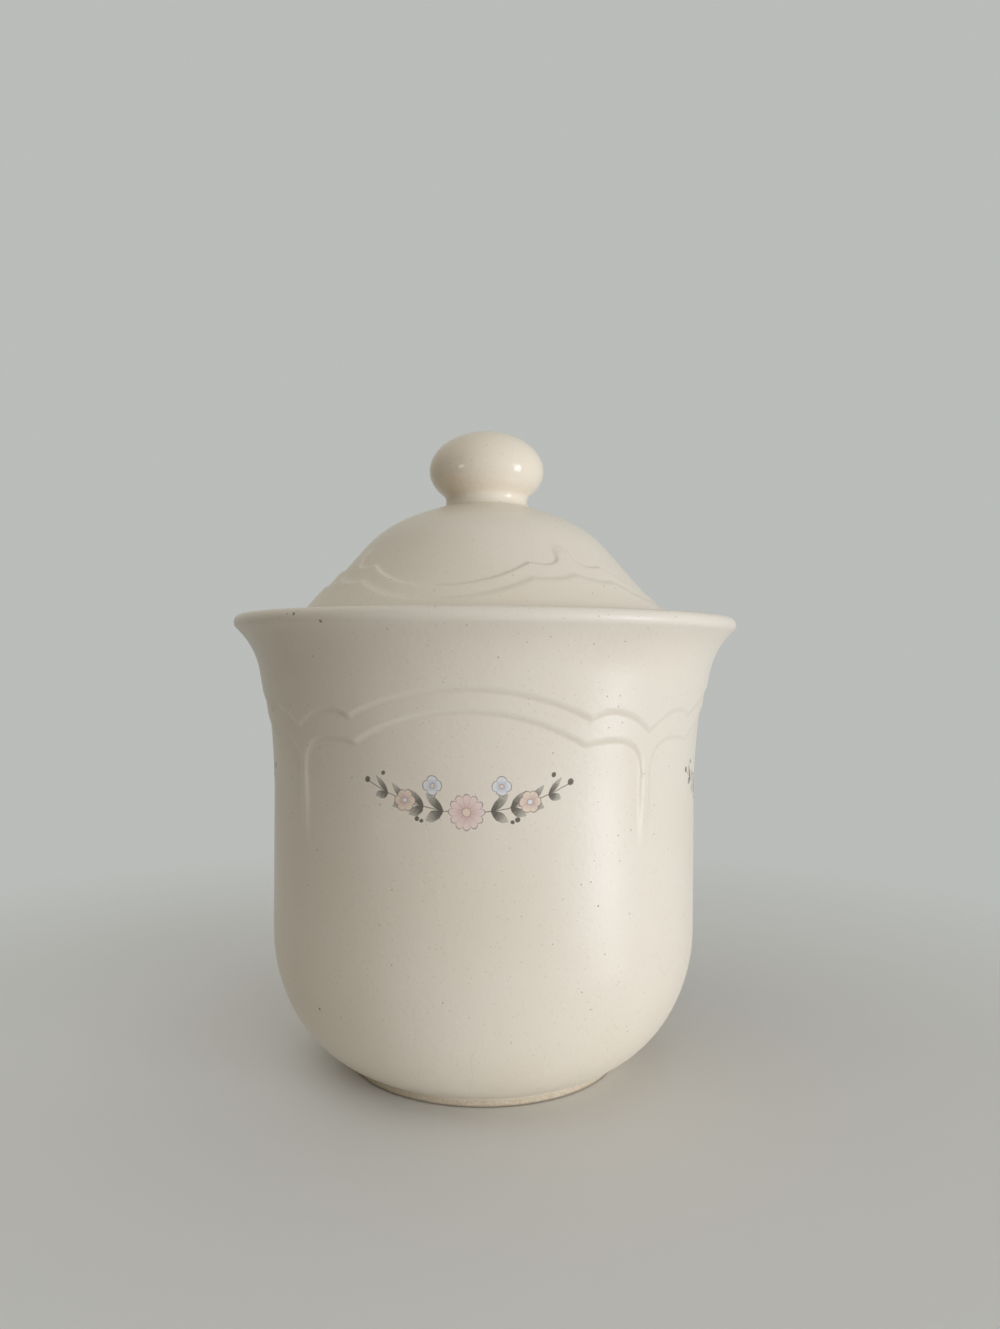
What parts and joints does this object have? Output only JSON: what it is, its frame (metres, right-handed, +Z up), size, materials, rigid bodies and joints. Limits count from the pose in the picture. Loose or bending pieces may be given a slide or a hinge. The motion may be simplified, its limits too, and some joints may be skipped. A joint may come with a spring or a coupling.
{
  "type": "kitchen canister",
  "caption": "Round glazed stoneware canister with a flared lip, embossed scalloped panels and a domed lift-off lid with a ball knob, for keeping dry food.",
  "frame": {"origin": "middle of the foot ring, on the surface that the canister stands on", "axes": "+Z up along the axis of the jar and the lid, one embossed panel faces -Y"},
  "size_m": [0.178, 0.178, 0.2254],
  "materials": {
    "jar_glaze": "satin cream glaze with fine iron specks",
    "lid_glaze": "satin cream glaze with fine iron specks",
    "seal": "soft translucent ring"
  },
  "bodies": {
    "jar": {"jar": "jar_glaze"},
    "seal": {"lid_seal": "seal"},
    "lid": {"lid": "lid_glaze"}
  },
  "joints": [
    {"name": "lid_lift", "type": "slide", "parent": "jar", "child": "seal", "axis": [0, 0, 1], "range_m": [0, 0.12]},
    {"name": "lid_turn", "type": "hinge", "parent": "seal", "child": "lid", "pos_m": [0, 0, 0.1424], "axis": [0, 0, 1], "continuous": true}
  ]
}
